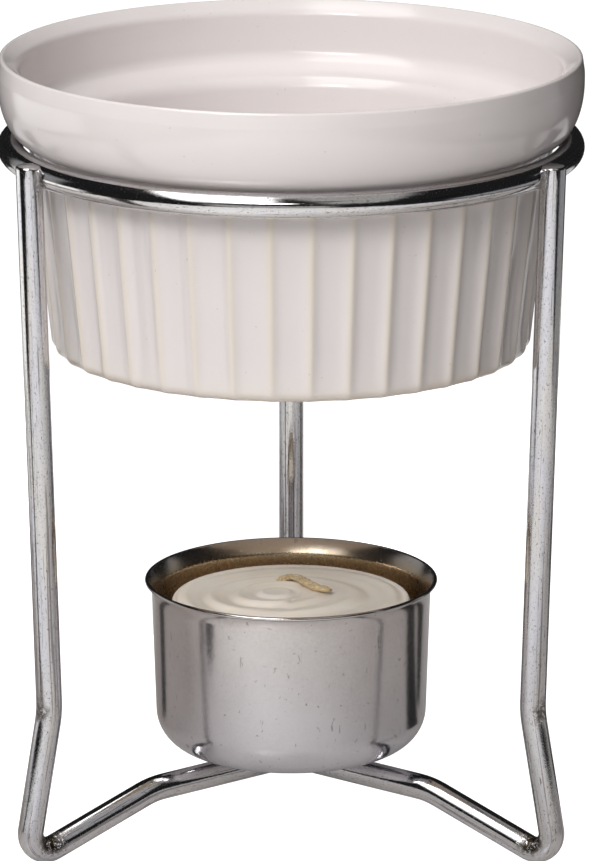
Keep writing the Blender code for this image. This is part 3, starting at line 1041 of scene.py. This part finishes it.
def make_floor():
    """A sheet of white acrylic, lit from below so that it looks as white as the paper behind."""
    material, tree, shader = new_material("floor_sheet")
    shader.inputs["Roughness"].default_value = 0.25
    shader.inputs["Specular IOR Level"].default_value = 0.3
    shader.inputs["Emission Color"].default_value = (1.0, 1.0, 1.0, 1)
    path = add(tree, "ShaderNodeLightPath")
    place = add(tree, "ShaderNodeTexCoord").outputs["Object"]
    # painted shadow: the sheet's colour and glow are darkened in these spots
    shade = 1.0
    for x, y, full, over, dimmest in FLOOR_SHADES:
        away = add(tree, "ShaderNodeVectorMath", operation="DISTANCE")
        tree.links.new(place, away.inputs[0])
        away.inputs[1].default_value = (AXIS.x + x, AXIS.y + y, 0.0)
        dim = ramp(tree, away.outputs["Value"], (full, over, dimmest, 1.0))
        shade = maths(tree, "MULTIPLY", dim, shade)
    tree.links.new(mixed(tree, shade, FLOOR_SHADOW_COLOUR, FLOOR_COLOUR), shader.inputs["Base Color"])
    dim_glow = maths(tree, "MULTIPLY", shade, FLOOR_GLOW)
    seen = path.outputs["Is Camera Ray"]
    glow = maths(tree, "ADD", dim_glow, maths(tree, "MULTIPLY", seen, FLOOR_SEEN))
    tree.links.new(glow, shader.inputs["Emission Strength"])
    make_sheet("floor", FLOOR_EDGES, material)


def direction(azimuth, elevation):
    a, e = math.radians(azimuth), math.radians(elevation)
    return Vector((math.sin(a) * math.cos(e), -math.cos(a) * math.cos(e), math.sin(e)))


def soften_edges(data):
    """Fade a box's light to nothing at its edges, as cloth over a lamp does."""
    data.use_nodes = True
    tree = data.node_tree
    lamp = tree.nodes["Emission"]
    across, up, _ = separate(tree, add(tree, "ShaderNodeNewGeometry").outputs["Parametric"])
    share = 1.0
    for place in (across, up):
        off = maths(tree, "ABSOLUTE", maths(tree, "SUBTRACT", place, 0.5), 0.0)
        share = maths(tree, "MULTIPLY", ramp(tree, off, (0.5 - EDGE_FADE, 0.5, 1.0, 0.0)), share)
    tree.links.new(share, lamp.inputs["Strength"])


def make_light(name, azimuth, elevation, half_width, half_height, roll, tilt, pan, radiance):
    """A soft box that faces the object, or a little past it with tilt and pan."""
    data = bpy.data.lights.new(name, "AREA")
    data.shape = "RECTANGLE"
    data.size, data.size_y = 2 * half_width, 2 * half_height
    data.energy = radiance * math.pi * data.size * data.size_y
    soften_edges(data)
    light = bpy.data.objects.new(name, data)
    facing = direction(azimuth + pan, elevation + tilt)
    side = Vector((0, 0, 1)).cross(facing).normalized()
    up = facing.cross(side)
    turn = math.radians(roll)
    x_axis = side * math.cos(turn) + up * math.sin(turn)
    y_axis = up * math.cos(turn) - side * math.sin(turn)
    place = AXIS + LIGHT_AIM + direction(azimuth, elevation)
    light.matrix_world = Matrix((x_axis, y_axis, facing)).transposed().to_4x4()
    light.location = place
    light.visible_camera = False
    light.visible_glossy = name not in UNMIRRORED
    bpy.context.scene.collection.objects.link(light)


def make_world():
    """White paper behind for the eye, and a dim room for everything that the object mirrors."""
    world = bpy.data.worlds.new("studio")
    world.use_nodes = True
    tree = world.node_tree
    tree.nodes.clear()
    seen = add(tree, "ShaderNodeBackground", Color=PAPER, Strength=PAPER_LIGHT)
    room = add(tree, "ShaderNodeBackground", Color=ROOM, Strength=ROOM_LIGHT)
    path = add(tree, "ShaderNodeLightPath")
    mix = add(tree, "ShaderNodeMixShader")
    out = add(tree, "ShaderNodeOutputWorld")
    tree.links.new(path.outputs["Is Camera Ray"], mix.inputs[0])
    tree.links.new(room.outputs[0], mix.inputs[1])
    tree.links.new(seen.outputs[0], mix.inputs[2])
    tree.links.new(mix.outputs[0], out.inputs["Surface"])
    bpy.context.scene.world = world


def make_studio():
    bpy.context.scene.view_settings.view_transform = "Standard"
    make_camera()
    make_floor()
    make_shadow_strips()
    make_world()
    for light in LIGHTS:
        make_light(*light)


glaze = glaze_material()
chrome = chrome_material()
steel = steel_material()
make_ramekin(glaze)
make_ring(chrome)
make_legs(chrome)
make_welds(chrome, steel)
make_cup(steel)
make_tealight(wax_material(), cotton_material(), tin_material())
make_studio()
